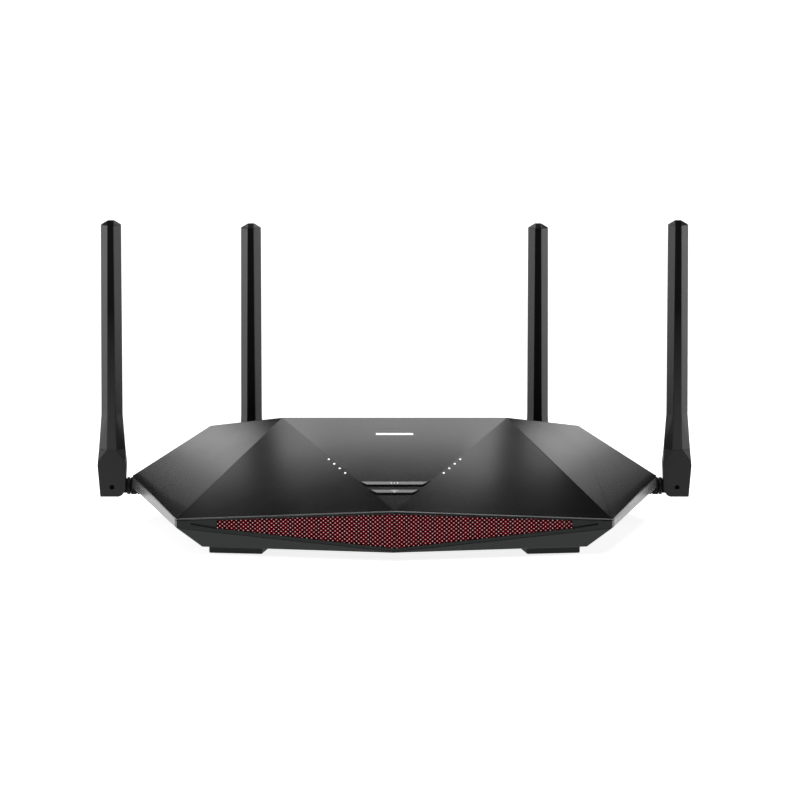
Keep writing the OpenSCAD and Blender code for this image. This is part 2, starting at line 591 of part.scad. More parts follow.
module knuckle() color([0.06, 0.06, 0.06]) difference() {
    union() {
        rotate([90, 0, 0]) cylinder(h = tongue_t, r = 4.3, center = true);
        block([0, -tongue_t / 2, -3.8], [9, tongue_t / 2, 3.8]);
        rod_x(8.4, 10.2, nut_r - 0.05);
        rod_x(10.1, 12.7, 2.1);
        rod_x(12.6, 13.6, 2.85);
        rod_x(13.5, 15.8, 0.5);
    }
    rotate([90, 0, 0]) cylinder(h = tongue_t + 2, r = pin_r + pin_gap, center = true);
}
module pivot_pin() color([0.55, 0.55, 0.56]) rotate([90, 0, 0])
    cylinder(h = 2 * base_d - 1.2, r = pin_r, center = true);
module paddle() color([0.06, 0.06, 0.065]) {
    tip = antenna_len;
    difference() {
        union() {
            along_y(-base_d, base_d, [[-6.7, -5.5], [3.9, -5.5], [5.6, -4.7], [6.9, -3.1], [7.6, -1.2],
                [paddle_half, 12.3], [8, shoulder_z + 0.2], [-8, shoulder_z + 0.2], [-paddle_half, 12.3]]);
            convex(concat(section(shoulder_z, 8, base_d, 7.5, 6.3),
                section(neck_z + 0.1, 7.5, base_d, stripe_half[0], stripe_half[0])));
            convex(concat(section(neck_z, 7.5, base_d, stripe_half[0], stripe_half[0]),
                section(body_z, body_half, body_half, stripe_half[1], stripe_half[1])));
            convex(concat(section(body_z - 0.1, body_half, body_half, stripe_half[1], stripe_half[1]),
                section(tip - 2.4, tip_half, tip_half, stripe_half[2], stripe_half[2]),
                section(tip, stripe_half[2], stripe_half[2], stripe_half[2], stripe_half[2])));
        }
        block([-5, -slot_t / 2, -8], [9, slot_t / 2, 5]);
        block([-3.4, -0.8, 12], [3.4, 0.8, tip - 14]);
        translate([0, 0, 4]) cylinder(h = 9, r = 0.9);
        rotate([90, 0, 0]) cylinder(h = 2 * base_d + 2, r = pin_r, center = true);
    }
}
module radiator() color([0.1, 0.35, 0.2]) block([-3.2, -0.8, 14], [3.2, 0.8, antenna_len - 15]);

module knuckle_side_left() in_place() at_antenna(0) knuckle();
module knuckle_side_right() in_place() at_antenna(1) knuckle();
module knuckle_back_left() in_place() at_antenna(2) knuckle();
module knuckle_back_right() in_place() at_antenna(3) knuckle();
module pin_side_left() in_place() at_antenna(0) pivot_pin();
module pin_side_right() in_place() at_antenna(1) pivot_pin();
module pin_back_left() in_place() at_antenna(2) pivot_pin();
module pin_back_right() in_place() at_antenna(3) pivot_pin();
module paddle_side_left() in_place() at_antenna(0) paddle();
module paddle_side_right() in_place() at_antenna(1) paddle();
module paddle_back_left() in_place() at_antenna(2) paddle();
module paddle_back_right() in_place() at_antenna(3) paddle();
module radiator_side_left() in_place() at_antenna(0) radiator();
module radiator_side_right() in_place() at_antenna(1) radiator();
module radiator_back_left() in_place() at_antenna(2) radiator();
module radiator_back_right() in_place() at_antenna(3) radiator();

top_cover();
bottom_cover();
front_bezel();
front_grille();
rear_panel();
rating_label();
foot_front_left();
foot_front_right();
foot_rear_left();
foot_rear_right();
light_bar();
light_pipes_left();
light_pipes_right();
wifi_button();
wps_button();
power_button();
reset_button();
front_board();
front_board_leds();
front_board_screws();
ribbon_cable();
switch_housings();
main_board();
processor();
memory_chips();
wifi_chips();
rf_shields();
thermal_pad();
heat_sink();
heat_sink_screws();
wan_jack();
lan_jack();
usb_jack();
dc_jack();
jack_contacts();
lan_transformers();
capacitors();
board_screws();
case_screws();
antenna_jacks();
antenna_jack_nuts();
coupling_nuts();
coax_leads();
knuckle_side_left();
knuckle_side_right();
knuckle_back_left();
knuckle_back_right();
pin_side_left();
pin_side_right();
pin_back_left();
pin_back_right();
paddle_side_left();
paddle_side_right();
paddle_back_left();
paddle_back_right();
radiator_side_left();
radiator_side_right();
radiator_back_left();
radiator_back_right();
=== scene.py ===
"""Looks of a faceted wireless router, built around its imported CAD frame. Lengths are in metres."""
import math

import bmesh
import bpy
import numpy as np
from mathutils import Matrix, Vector
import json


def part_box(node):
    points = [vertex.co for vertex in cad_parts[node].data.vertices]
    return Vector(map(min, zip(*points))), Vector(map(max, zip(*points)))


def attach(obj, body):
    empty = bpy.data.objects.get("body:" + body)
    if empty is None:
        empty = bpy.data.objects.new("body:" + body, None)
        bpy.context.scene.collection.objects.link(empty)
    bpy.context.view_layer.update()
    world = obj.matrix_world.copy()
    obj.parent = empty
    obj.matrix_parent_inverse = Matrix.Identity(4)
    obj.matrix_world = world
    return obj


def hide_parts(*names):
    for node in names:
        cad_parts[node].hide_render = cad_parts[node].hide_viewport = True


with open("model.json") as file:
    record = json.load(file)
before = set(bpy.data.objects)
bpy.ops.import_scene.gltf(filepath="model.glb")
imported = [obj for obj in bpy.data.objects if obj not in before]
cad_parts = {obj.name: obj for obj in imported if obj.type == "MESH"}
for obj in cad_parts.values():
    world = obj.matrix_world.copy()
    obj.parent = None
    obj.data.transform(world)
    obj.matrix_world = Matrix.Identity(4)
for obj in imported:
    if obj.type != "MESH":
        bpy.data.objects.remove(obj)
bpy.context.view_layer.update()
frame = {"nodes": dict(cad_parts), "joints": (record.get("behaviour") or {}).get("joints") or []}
MM = 0.001
UP = Vector((0, 0, 1))

# ---------------------------------------------------------------- camera
IMAGE_PX = 789
FOCAL_PX = 5752.0
CAM_DISTANCE = 3.2
CAM_RISE = math.radians(8.5)
CAM_PITCH = math.radians(7.08)
AIM_Y = -20.4 * MM
SENSOR_MM = 36.0
CLIP_NEAR = 0.05
CLIP_FAR = 80.0


def make_camera():
    data = bpy.data.cameras.new("camera")
    data.sensor_width = SENSOR_MM
    data.lens = FOCAL_PX / IMAGE_PX * data.sensor_width
    data.clip_start = CLIP_NEAR
    data.clip_end = CLIP_FAR
    cam = bpy.data.objects.new("camera", data)
    cam.location = (0.0, AIM_Y - CAM_DISTANCE * math.cos(CAM_RISE), CAM_DISTANCE * math.sin(CAM_RISE))
    cam.rotation_euler = (math.pi / 2 - CAM_PITCH, 0.0, 0.0)
    bpy.context.scene.collection.objects.link(cam)
    bpy.context.scene.camera = cam


make_camera()


# ---------------------------------------------------------------- node trees
class Nodes:
    """A material's node tree, built call by call. Inputs may be values or other nodes' sockets."""

    def __init__(self, name):
        self.mat = bpy.data.materials.new(name)
        self.mat.use_nodes = True
        self.tree = self.mat.node_tree
        self.tree.nodes.clear()
        self.place = self.add("TexCoord").outputs["Object"]

    def add(self, kind, inputs=None, **props):
        node = self.tree.nodes.new("ShaderNode" + kind)
        for key, value in props.items():
            setattr(node, key, value)
        for key, value in (inputs or {}).items():
            self.feed(node.inputs[key], value)
        return node

    def feed(self, socket, value):
        if isinstance(value, bpy.types.NodeSocket):
            self.tree.links.new(value, socket)
        elif socket.type == "RGBA":
            socket.default_value = (*value[:3], 1.0)
        else:
            socket.default_value = value

    def noise(self, scale, detail=3.0, rough=0.5, where=None):
        return self.add("TexNoise", {"Vector": where or self.place, "Scale": scale, "Detail": detail,
                                     "Roughness": rough}).outputs["Fac"]

    def stretch(self, x, y, z):
        return self.add("Mapping", {"Vector": self.place, "Scale": (x, y, z)}).outputs["Vector"]

    def remap(self, value, low, high, start=0.3, end=0.7):
        return self.add("MapRange", {"Value": value, "From Min": start, "From Max": end,
                                     "To Min": low, "To Max": high}).outputs["Result"]

    def math(self, operation, a, b):
        return self.add("Math", {0: a, 1: b}, operation=operation).outputs[0]

    def mix(self, fac, a, b):
        node = self.add("Mix", {"Factor": fac}, data_type="RGBA")
        self.feed(node.inputs[6], a)
        self.feed(node.inputs[7], b)
        return node.outputs[2]

    def bump(self, height, strength, distance):
        inputs = {"Height": height, "Strength": strength, "Distance": distance}
        return self.add("Bump", inputs).outputs["Normal"]

    def edges(self, radius):
        """1 along convex edges and 0 on flats, from how far the rounded normal leaves the true one."""
        soft = self.add("Bevel", {"Radius": radius}, samples=4).outputs["Normal"]
        true = self.add("NewGeometry").outputs["Normal"]
        cosine = self.add("VectorMath", {0: soft, 1: true}, operation="DOT_PRODUCT").outputs["Value"]
        return self.remap(cosine, 1.0, 0.0, 0.90, 0.995)

    def done(self, **inputs):
        shader = self.add("BsdfPrincipled", {key.replace("_", " "): value for key, value in inputs.items()})
        out = self.add("OutputMaterial")
        self.tree.links.new(shader.outputs[0], out.inputs["Surface"])
        return self.mat


def tint(colour, factor):
    return tuple(min(c * factor, 1.0) for c in colour)


# ---------------------------------------------------------------- materials
def moulded(name, colour, rough=(0.34, 0.42), specular=0.5, grain=2400.0, depth=0.02 * MM, wear=0.25,
            edge=0.5 * MM):
    """Injection-moulded plastic: fine spark grain, cloudy gloss, slightly paler worn edges."""
    n = Nodes(name)
    cloud = n.noise(24.0, 4.0)
    fine = n.noise(grain, 2.0, 0.6)
    worn = n.math("MULTIPLY", n.edges(edge), n.remap(n.noise(170.0), 0.3 * wear, wear))
    tone = n.mix(n.remap(cloud, 0.0, 1.0), tint(colour, 0.88), tint(colour, 1.12))
    gloss = n.remap(n.math("ADD", cloud, fine), rough[0], rough[1], 0.75, 1.25)
    return n.done(Base_Color=n.mix(worn, tone, tint(colour, 3.0)), Roughness=gloss,
                  Specular_IOR_Level=specular, Normal=n.bump(fine, 0.12, depth))


def painted_shade_by_height(name, grey, black, low, high):
    """Moulded plastic, grey and satin at one height and black and matt at another; the blackening with height
    is painted shade.
    """
    n = Nodes(name)
    height = n.add("SeparateXYZ", {"Vector": n.place}).outputs["Z"]
    # Painted shade: 0 at the low height and 1 at the high one.
    up = n.remap(height, 0.0, 1.0, low, high)
    fine = n.noise(2400.0, 2.0, 0.6)
    cloud = n.noise(24.0, 4.0)
    tone = n.mix(n.remap(cloud, 0.0, 1.0), grey, tint(grey, 1.15))
    return n.done(Base_Color=n.mix(up, tone, black), Roughness=n.remap(fine, 0.42, 0.55),
                  Specular_IOR_Level=n.remap(up, 0.34, 0.06, 0.0, 1.0), Normal=n.bump(fine, 0.12, 0.01 * MM))


def rubber(name, colour):
    """Moulded rubber: matt, with a coarse dull bloom."""
    n = Nodes(name)
    bloom = n.noise(90.0, 5.0, 0.6)
    fine = n.noise(1500.0, 2.0)
    tone = n.mix(n.remap(bloom, 0.0, 1.0), tint(colour, 0.8), tint(colour, 1.3))
    return n.done(Base_Color=tone, Roughness=n.remap(bloom, 0.62, 0.78), Specular_IOR_Level=0.3,
                  Normal=n.bump(fine, 0.35, 0.04 * MM))


def metal(name, colour, rough=(0.25, 0.4), stretch=(1.0, 1.0, 1.0), scale=900.0, depth=0.006 * MM):
    """Plated or turned metal with fine tool marks along the stretched direction."""
    n = Nodes(name)
    marks = n.noise(scale, 3.0, 0.6, n.stretch(*stretch))
    cloud = n.noise(60.0, 4.0)
    tone = n.mix(n.remap(cloud, 0.0, 1.0), tint(colour, 0.86), tint(colour, 1.08))
    return n.done(Base_Color=tone, Metallic=1.0, Roughness=n.remap(marks, *rough),
                  Normal=n.bump(marks, 0.3, depth))


def lit(name, colour, strength):
    """Milky light guide, lit from behind, a little dimmer in patches."""
    n = Nodes(name)
    patches = n.noise(300.0, 3.0)
    glow = n.mix(n.remap(patches, 0.0, 1.0), tint(colour, 0.9), colour)
    return n.done(Base_Color=n.mix(patches, tint(colour, 0.8), colour), Roughness=n.remap(patches, 0.3, 0.45),
                  Emission_Color=glow, Emission_Strength=strength)


def wire_with_painted_highlights(name, deep, crest):
    """Powder-coated woven wire, deep red in the valleys, with a painted highlight: the crests are coloured
    pale pink and made glossier.
    """
    n = Nodes(name)
    height = n.add("Attribute", attribute_name="crest").outputs["Fac"]
    speckle = n.noise(2600.0, 3.0, 0.7)
    # Painted highlight: the pale crest colour where the wire stands highest, broken up by speckle.
    painted_highlight = n.math("MULTIPLY", n.remap(height, 0.0, 1.0, 0.84, 0.97), n.remap(speckle, 0.85, 1.0))
    return n.done(Base_Color=n.mix(painted_highlight, deep, crest), Roughness=n.remap(speckle, 0.36, 0.5),
                  Specular_IOR_Level=n.remap(painted_highlight, 0.08, 0.8, 0.0, 1.0),
                  Normal=n.bump(speckle, 0.3, 0.02 * MM))


def painted_shade_sheet(name, colour):
    """A near-black sheet behind the mesh, painted shade for the dark inside seen through the holes, with a
    fine plain weave.
    """
    n = Nodes(name)
    threads = {"Vector": n.place, "Scale": 900.0, "Distortion": 1.0}
    across = n.add("TexWave", threads).outputs["Fac"]
    along = n.add("TexWave", threads, bands_direction="Z").outputs["Fac"]
    weave = n.math("MULTIPLY", across, along)
    return n.done(Base_Color=n.mix(weave, tint(colour, 0.5), tint(colour, 1.5)),
                  Roughness=n.remap(weave, 0.85, 0.95), Specular_IOR_Level=0.1,
                  Normal=n.bump(weave, 0.5, 0.05 * MM))


def circuit_board(name, mask, copper):
    """Solder-masked laminate with copper runs showing through the mask and a faint glass weave."""
    n = Nodes(name)
    cells = n.add("TexVoronoi", {"Vector": n.place, "Scale": 260.0}, distance="MANHATTAN", feature="F1")
    runs = n.remap(cells.outputs["Distance"], 0.0, 1.0, 0.28, 0.34)
    weave = n.noise(1800.0, 2.0)
    tone = n.mix(n.math("MULTIPLY", runs, 0.55), mask, copper)
    return n.done(Base_Color=n.mix(n.remap(weave, 0.0, 0.2), tone, tint(mask, 0.6)),
                  Roughness=n.remap(weave, 0.28, 0.4), Normal=n.bump(runs, 0.35, 0.03 * MM))


def printed_film(name, colour, ink):
    """Printed label film: faint paper tooth, with a plain ink border and empty boxes."""
    n = Nodes(name)
    tooth = n.noise(1200.0, 3.0)
    boxes = {"Vector": n.place, "Color1": colour, "Color2": tint(colour, 0.94), "Mortar": ink, "Scale": 1.0,
             "Mortar Size": 0.25 * MM, "Brick Width": 29.0 * MM, "Row Height": 8.0 * MM}
    bricks = n.add("TexBrick", boxes, offset=0.0)
    tone = n.mix(n.remap(tooth, 0.0, 0.12), bricks.outputs["Color"], tint(colour, 0.7))
    return n.done(Base_Color=tone, Roughness=n.remap(tooth, 0.42, 0.55),
                  Normal=n.bump(tooth, 0.15, 0.02 * MM))


COVER = moulded("satin_black_cover", (0.0035, 0.0035, 0.0035), (0.16, 0.20), 0.5, 6000.0, 0.001 * MM)
VENTS = moulded("matt_black_vent_panel", (0.009, 0.009, 0.0093), (0.5, 0.6), 0.3)
# Ten times paler than the cover: a painted highlight on the rounded front lip.
LIP_HIGHLIGHT = moulded("front_lip_painted_highlight", (0.035, 0.035, 0.034), (0.2, 0.28), 1.0, depth=0.004 * MM)
BASE = moulded("matt_black_base", (0.009, 0.0105, 0.010), (0.40, 0.50), 0.27)
BAND = moulded("lacquered_side_band", (0.02, 0.02, 0.02), (0.2, 0.3), 0.6, depth=0.004 * MM)
BEZEL = moulded("satin_black_bezel", (0.008, 0.0095, 0.009), (0.36, 0.44), 0.2)
PANEL = moulded("matt_black_rear_panel", (0.014, 0.014, 0.015), (0.45, 0.55), 0.4)
BUTTON = moulded("gloss_black_button", (0.006, 0.006, 0.007), (0.12, 0.18), 0.38, depth=0.003 * MM, wear=0.3,
                 edge=0.2 * MM)
REAR_BUTTON = moulded("black_rear_button", (0.02, 0.02, 0.021), (0.3, 0.4), 0.5, edge=0.3 * MM)
PADDLE = moulded("satin_black_antenna", (0.010, 0.010, 0.0102), (0.36, 0.44), 0.5, depth=0.01 * MM,
                 edge=0.4 * MM)
FLAT = moulded("matt_black_antenna_flat", (0.008, 0.008, 0.0082), (0.45, 0.55), 0.28, depth=0.01 * MM,
               wear=0.15)
# The antenna's flats that face along the pin turn black towards the top: painted shade.
FLAT_SHADE_FADE = painted_shade_by_height("antenna_flat_painted_shade", (0.010, 0.010, 0.0102), (0.002, 0.002, 0.0022), 50 * MM, 120 * MM)
# Near-black and matt: painted shade for the dark reflection down the narrow flats.
STRIPE_SHADE = moulded("antenna_stripe_painted_shade", (0.002, 0.002, 0.0022), (0.55, 0.65), 0.06, wear=0.15)
KNUCKLE = moulded("black_knuckle", (0.002, 0.002, 0.0022), (0.4, 0.5), 0.1, edge=0.2 * MM)
# Near-black all over, like the dark dot at each antenna hinge.
PIN = moulded("near_black_pin", (0.001, 0.001, 0.001), (0.5, 0.6), 0.03, wear=0.1, edge=0.2 * MM)
JACK_BLACK = moulded("black_jack_plastic", (0.012, 0.012, 0.013), (0.4, 0.5), 0.45, edge=0.2 * MM)
JACK_YELLOW = moulded("yellow_jack_plastic", (0.75, 0.47, 0.03), (0.35, 0.45), 0.5, wear=0.1, edge=0.2 * MM)
JACK_BLUE = moulded("blue_jack_plastic", (0.03, 0.13, 0.55), (0.35, 0.45), 0.5, wear=0.1, edge=0.2 * MM)
CHIP = moulded("black_component", (0.016, 0.016, 0.017), (0.5, 0.6), 0.4, wear=0.2, edge=0.2 * MM)
RIBBON = moulded("grey_ribbon", (0.45, 0.45, 0.46), (0.4, 0.5), 0.4, wear=0.1)
PAD = moulded("grey_thermal_pad", (0.25, 0.28, 0.36), (0.7, 0.8), 0.2, wear=0.1)
RUBBER = rubber("black_rubber_foot", (0.013, 0.014, 0.014))
LEAD = rubber("black_lead_jacket", (0.01, 0.01, 0.01))
MARK = moulded("white_print", (0.8, 0.8, 0.8), (0.4, 0.5), 0.4, wear=0.0)
LIGHT = lit("white_light_guide", (0.95, 0.97, 1.0), 1.0)
# The pale pink crest colour is a painted highlight on the red wire.
WIRE = wire_with_painted_highlights("red_wire_painted_highlights", (0.10, 0.0005, 0.004), (1.0, 0.74, 0.76))
# Painted shade: the dark sheet stands in for the shaded inside behind the mesh.
SHADE_SHEET = painted_shade_sheet("dark_painted_shade_sheet", (0.006, 0.001, 0.001))
BOARD = circuit_board("green_circuit_board", (0.006, 0.07, 0.025), (0.05, 0.22, 0.08))
LABEL = printed_film("grey_label_film", (0.5, 0.5, 0.5), (0.12, 0.12, 0.12))
STEEL = metal("zinc_steel", (0.55, 0.55, 0.56))
DARK_SCREW = metal("black_oxide_screw", (0.05, 0.05, 0.052), (0.35, 0.5))
TIN = metal("tinned_shield", (0.62, 0.62, 0.61), (0.3, 0.45), (1.0, 6.0, 1.0))
FIN = metal("extruded_aluminium", (0.72, 0.72, 0.74), (0.28, 0.42), (1.0, 0.05, 1.0))
GOLD = metal("gold_plate", (0.80, 0.55, 0.20), (0.18, 0.3))
NICKEL = metal("nickel_plate", (0.62, 0.59, 0.54), (0.2, 0.32))

CARRIED = {
    BOARD: ["front_board", "main_board"],
    LIGHT: ["light_pipes_left", "light_pipes_right", "light_bar", "front_board_leds"],
    STEEL: ["front_board_screws", "heat_sink_screws", "board_screws"],
    RIBBON: ["ribbon_cable"],
    CHIP: ["switch_housings", "processor", "memory_chips", "wifi_chips", "lan_transformers", "capacitors"],
    TIN: ["rf_shields"], PAD: ["thermal_pad"], FIN: ["heat_sink"], DARK_SCREW: ["case_screws"],
    GOLD: ["antenna_jacks", "jack_contacts"], NICKEL: ["antenna_jack_nuts"], LEAD: ["coax_leads"],
    REAR_BUTTON: ["reset_button"], PIN: [],
}
ANTENNAS = ["side_left", "side_right", "back_left", "back_right"]
for antenna in ANTENNAS:
    CARRIED[PIN].append("pin_" + antenna)
    CARRIED[BOARD].append("radiator_" + antenna)
for material, nodes in CARRIED.items():
    for node in nodes:
        mesh = frame["nodes"][node].data
        mesh.materials.clear()
        mesh.materials.append(material)


# ---------------------------------------------------------------- mesh helpers
WELD = 0.001 * MM
FLAT_WITHIN = math.radians(0.2)
BEHIND = 0.03 * MM


def cad_solid(node):
    """Welded copy of a CAD node's mesh, each flat area as one face where it can be."""
    bm = bmesh.new()
    bm.from_mesh(frame["nodes"][node].data)
    bmesh.ops.remove_doubles(bm, verts=bm.verts, dist=WELD)
    bmesh.ops.dissolve_limit(bm, angle_limit=FLAT_WITHIN, verts=bm.verts, edges=bm.edges)
    return bm


def outer_faces(bm, smallest=20 * MM ** 2):
    """The big faces that have the whole solid behind them."""
    points = np.array([v.co for v in bm.verts])
    found = set()
    for face in bm.faces:
        if face.calc_area() > smallest:
            ahead = (points - np.array(face.verts[0].co)) @ np.array(face.normal)
            if ahead.max() < BEHIND:
                found.add(face)
    return found


def put(bm, name, materials, body, replaces=()):
    """Makes the piece, rides it on its body and hides the CAD parts it replaces."""
    mesh = bpy.data.meshes.new(name)
    bm.to_mesh(mesh)
    bm.free()
    if "custom_normal" in mesh.attributes:
        mesh.attributes.remove(mesh.attributes["custom_normal"])
    for material in materials if isinstance(materials, list) else [materials]:
        mesh.materials.append(material)
    piece = bpy.data.objects.new(name, mesh)
    bpy.context.scene.collection.objects.link(piece)
    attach(piece, body)
    if replaces:
        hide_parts(*replaces)
    return piece


SMOOTH_BELOW = 30
CREASE_ABOVE = 1.5
FULL_CREASE = 80
RIM_ABOVE = 25


def weigh_edges(bm, rim, everywhere):
    """Bevel weights by fold angle: up to 1 on creases between outer faces, rim round their openings."""
    outer = outer_faces(bm)
    weight = bm.edges.layers.float.get("bevel_weight_edge") or bm.edges.layers.float.new("bevel_weight_edge")
    for edge in bm.edges:
        if len(edge.link_faces) != 2:
            continue
        angle = math.degrees(edge.calc_face_angle_signed(0.0))
        edge.smooth = abs(angle) < SMOOTH_BELOW
        sides = sum(face in outer for face in edge.link_faces)
        if sides == 2 and angle > CREASE_ABOVE:
            edge[weight] = min(1.0, 0.25 + angle / FULL_CREASE)
        elif angle > RIM_ABOVE and (sides == 1 or everywhere):
            edge[weight] = rim


BROAD = 12 * MM ** 2
NEAR = math.cos(math.radians(40))
STRENGTH = "__mod_weightednormals_faceweight"


def corner_normal(face, around, firm):
    """Flat faces shade flat up to the rim; roundings take the normal of the flat face they run into."""
    if firm[face.index]:
        return face.normal
    close = [other for other in around if other.normal.dot(face.normal) > NEAR]
    anchors = [other for other in close if firm[other.index]]
    if anchors:
        return max(anchors, key=lambda other: other.normal.dot(face.normal)).normal
    return sum((other.normal for other in close), Vector()).normalized()


def settle(piece):
    """Fixes the rounded edges into the mesh and sets its shading normals."""
    bpy.context.view_layer.update()
    made = piece.evaluated_get(bpy.context.evaluated_depsgraph_get())
    mesh = bpy.data.meshes.new_from_object(made)
    rough = piece.data
    piece.modifiers.clear()
    piece.data = mesh
    mesh.name = rough.name
    bpy.data.meshes.remove(rough)
    around = [[] for vertex in mesh.vertices]
    for face in mesh.polygons:
        for vertex in face.vertices:
            around[vertex].append(face)
    strength = mesh.attributes[STRENGTH].data if STRENGTH in mesh.attributes else None
    firm = [face.area > BROAD and (strength is None or strength[face.index].value >= 0)
            for face in mesh.polygons]
    normals = [corner_normal(face, around[vertex], firm)
               for face in mesh.polygons for vertex in face.vertices]
    mesh.normals_split_custom_set(normals)
    for name in (STRENGTH, "bevel_weight_edge"):
        if name in mesh.attributes:
            mesh.attributes.remove(mesh.attributes[name])


ROUND_STEPS = 3


def rounded(node, material, crease=0.4 * MM, rim=0.35, everywhere=False, body="housing", shape=None):
    """Stands for a CAD node: the same solid with its edges rounded as a mould leaves them."""
    bm = cad_solid(node)
    if shape:
        shape(bm)
    weigh_edges(bm, rim, everywhere)
    for face in bm.faces:
        face.smooth = True
    piece = put(bm, node + "_shell", material, body, [node])
    bevel = piece.modifiers.new("edges", "BEVEL")
    bevel.limit_method = "WEIGHT"
    bevel.width = crease
    bevel.segments = ROUND_STEPS
    bevel.use_clamp_overlap = False
    bevel.face_strength_mode = "FSTR_ALL"
    settle(piece)
    return piece


# ---------------------------------------------------------------- housing
LIP_RADIUS = 0.5 * MM
LIP_STEPS = 4
VENTS_FROM = 0 * MM
BOSS_FROM = 134 * MM
BOSS_RADIUS = 6.3 * MM
BAND_AREA = 150 * MM ** 2


def round_lip_painted_highlight(bm):
    """Rounds the top cover's front edge in a glossier finish whose paler colour is a painted highlight, and
    gives the rear slopes the vents' one.
    """
    outer = outer_faces(bm)
    front = {f for f in bm.faces if f.normal.y < -0.9 and abs(f.normal.z) < 0.1}
    lip = [e for e in bm.edges if len(e.link_faces) == 2 and sum(f in front for f in e.link_faces) == 1
           and sum(f in outer and f.normal.z > 0.5 for f in e.link_faces) == 1]
    # Material 1 on the rounding is the paler lip: a painted highlight.
    bmesh.ops.bevel(bm, geom=lip, offset=LIP_RADIUS, segments=LIP_STEPS, profile=0.5, affect="EDGES",
                    material=1)
    for face in bm.faces:
        if face.calc_center_median().y > VENTS_FROM and face.normal.z > 0.5 and abs(face.normal.x) < 0.2:
            face.material_index = 2


def paint_base(bm):
    """Own materials on the upright strips along the sides and on the bosses of the side antennas."""
    low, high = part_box("pin_side_left")
    axis_y, axis_z = (low.y + high.y) / 2, (low.z + high.z) / 2
    for face in bm.faces:
        middle = face.calc_center_median()
        off_axis = math.hypot(middle.y - axis_y, middle.z - axis_z)
        if abs(middle.x) > BOSS_FROM and off_axis < BOSS_RADIUS and abs(face.normal.z) < 0.999:
            face.material_index = 2
    for face in outer_faces(bm, BAND_AREA):
        if abs(face.normal.z) < 0.12 and abs(face.normal.x) > 0.5:
            face.material_index = 1


rounded("top_cover", [COVER, LIP_HIGHLIGHT, VENTS], 0.55 * MM, 0.3, shape=round_lip_painted_highlight)
rounded("bottom_cover", [BASE, BAND, KNUCKLE], 0.4 * MM, 0.3, shape=paint_base)
rounded("front_bezel", BEZEL, 0.3 * MM, 0.5)
rounded("rear_panel", PANEL, 0.2 * MM, 1.0)
rounded("rating_label", LABEL, 0.08 * MM)
for corner in ("front_left", "front_right", "rear_left", "rear_right"):
    rounded("foot_" + corner, RUBBER, 0.7 * MM)


# ---------------------------------------------------------------- woven front mesh
MESH_PITCH = 2.6 * MM
MESH_ROW = 2.15 * MM
WIRE_HALF_WIDTH = 0.40 * MM
WIRE_R = 0.22 * MM
WIRE_WAVE = 0.19 * MM
WIRE_SIDES = 10
RINGS_A_CROSSING = 4
WIRES_EACH_WAY = 60
SHORTEST_WIRE = 0.3
MESH_FORWARD = 0.25 * MM
SHADE_SHEET_DEPTH = 0.66 * MM
SHADE_SHEET_THICK = 0.12 * MM


def grille_faces():
    """The grille's two front faces, as (corners, outward normal)."""
    bm = cad_solid("front_grille")
    fronts = sorted((f for f in bm.faces if f.normal.y < -0.9), key=lambda f: -f.calc_area())[:2]
    found = [([v.co.copy() for v in f.verts], f.normal.copy()) for f in fronts]
    bm.free()
    return found


def clip_line(corners, start, step):
    """Where a line in the plane of a convex outline enters and leaves it, in steps, or None."""
    centre = sum(corners, Vector((0, 0))) / len(corners)
    low, high = -1e9, 1e9
    for a, b in zip(corners, corners[1:] + corners[:1]):
        inward = Vector((a.y - b.y, b.x - a.x))
        if inward.dot(centre - a) < 0:
            inward = -inward
        speed, ahead = inward.dot(step), inward.dot(start - a)
        if abs(speed) < 1e-12:
            if ahead < 0:
                return None
        elif speed > 0:
            low = max(low, -ahead / speed)
        else:
            high = min(high, -ahead / speed)
    return (low, high) if high - low > SHORTEST_WIRE else None


def wire_stations(low, high):
    """Ring places from end to end, at even parts of a crossing."""
    first, last = math.ceil(low * RINGS_A_CROSSING), math.floor(high * RINGS_A_CROSSING)
    inner = [k / RINGS_A_CROSSING for k in range(first, last + 1)]
    return [low] + [s for s in inner if low + 0.05 < s < high - 0.05] + [high]


def woven_half(verts, faces, crests, corners, normal):
    """Adds both wire families of one half of the window."""
    along = UP.cross(normal).normalized()
    origin = Vector((0, corners[0].y + normal.x / normal.y * corners[0].x, 0)) + normal * MESH_FORWARD
    flat = [Vector(((c - origin).dot(along), c.z)) for c in corners]
    for lean in (1, -1):
        run = Vector((MESH_PITCH / 2, lean * MESH_ROW / 2))
        hop = Vector((MESH_PITCH / 2, -lean * MESH_ROW / 2))
        across = Vector((-run.y, run.x)).normalized()
        for index in range(-WIRES_EACH_WAY, WIRES_EACH_WAY + 1):
            span = clip_line(flat, hop * index, run)
            if span is None:
                continue
            stations = wire_stations(*span)
            base = len(verts)
            for s in stations:
                middle = hop * index + run * s
                wave = lean * WIRE_WAVE * math.cos(math.pi * (index + s))
                for k in range(WIRE_SIDES):
                    turn = 2 * math.pi * k / WIRE_SIDES
                    side = middle + across * WIRE_HALF_WIDTH * math.cos(turn)
                    lift = wave + WIRE_R * math.sin(turn)
                    verts.append(origin + along * side.x + UP * side.y + normal * lift)
                    crests.append(lift / (WIRE_WAVE + WIRE_R))
            for i in range(len(stations) - 1):
                a = base + i * WIRE_SIDES
                for k in range(WIRE_SIDES):
                    nxt = (k + 1) % WIRE_SIDES
                    faces.append((a + k, a + nxt, a + WIRE_SIDES + nxt, a + WIRE_SIDES + k))
            end = base + (len(stations) - 1) * WIRE_SIDES
            faces.append(tuple(range(base + WIRE_SIDES - 1, base - 1, -1)))
            faces.append(tuple(range(end, end + WIRE_SIDES)))


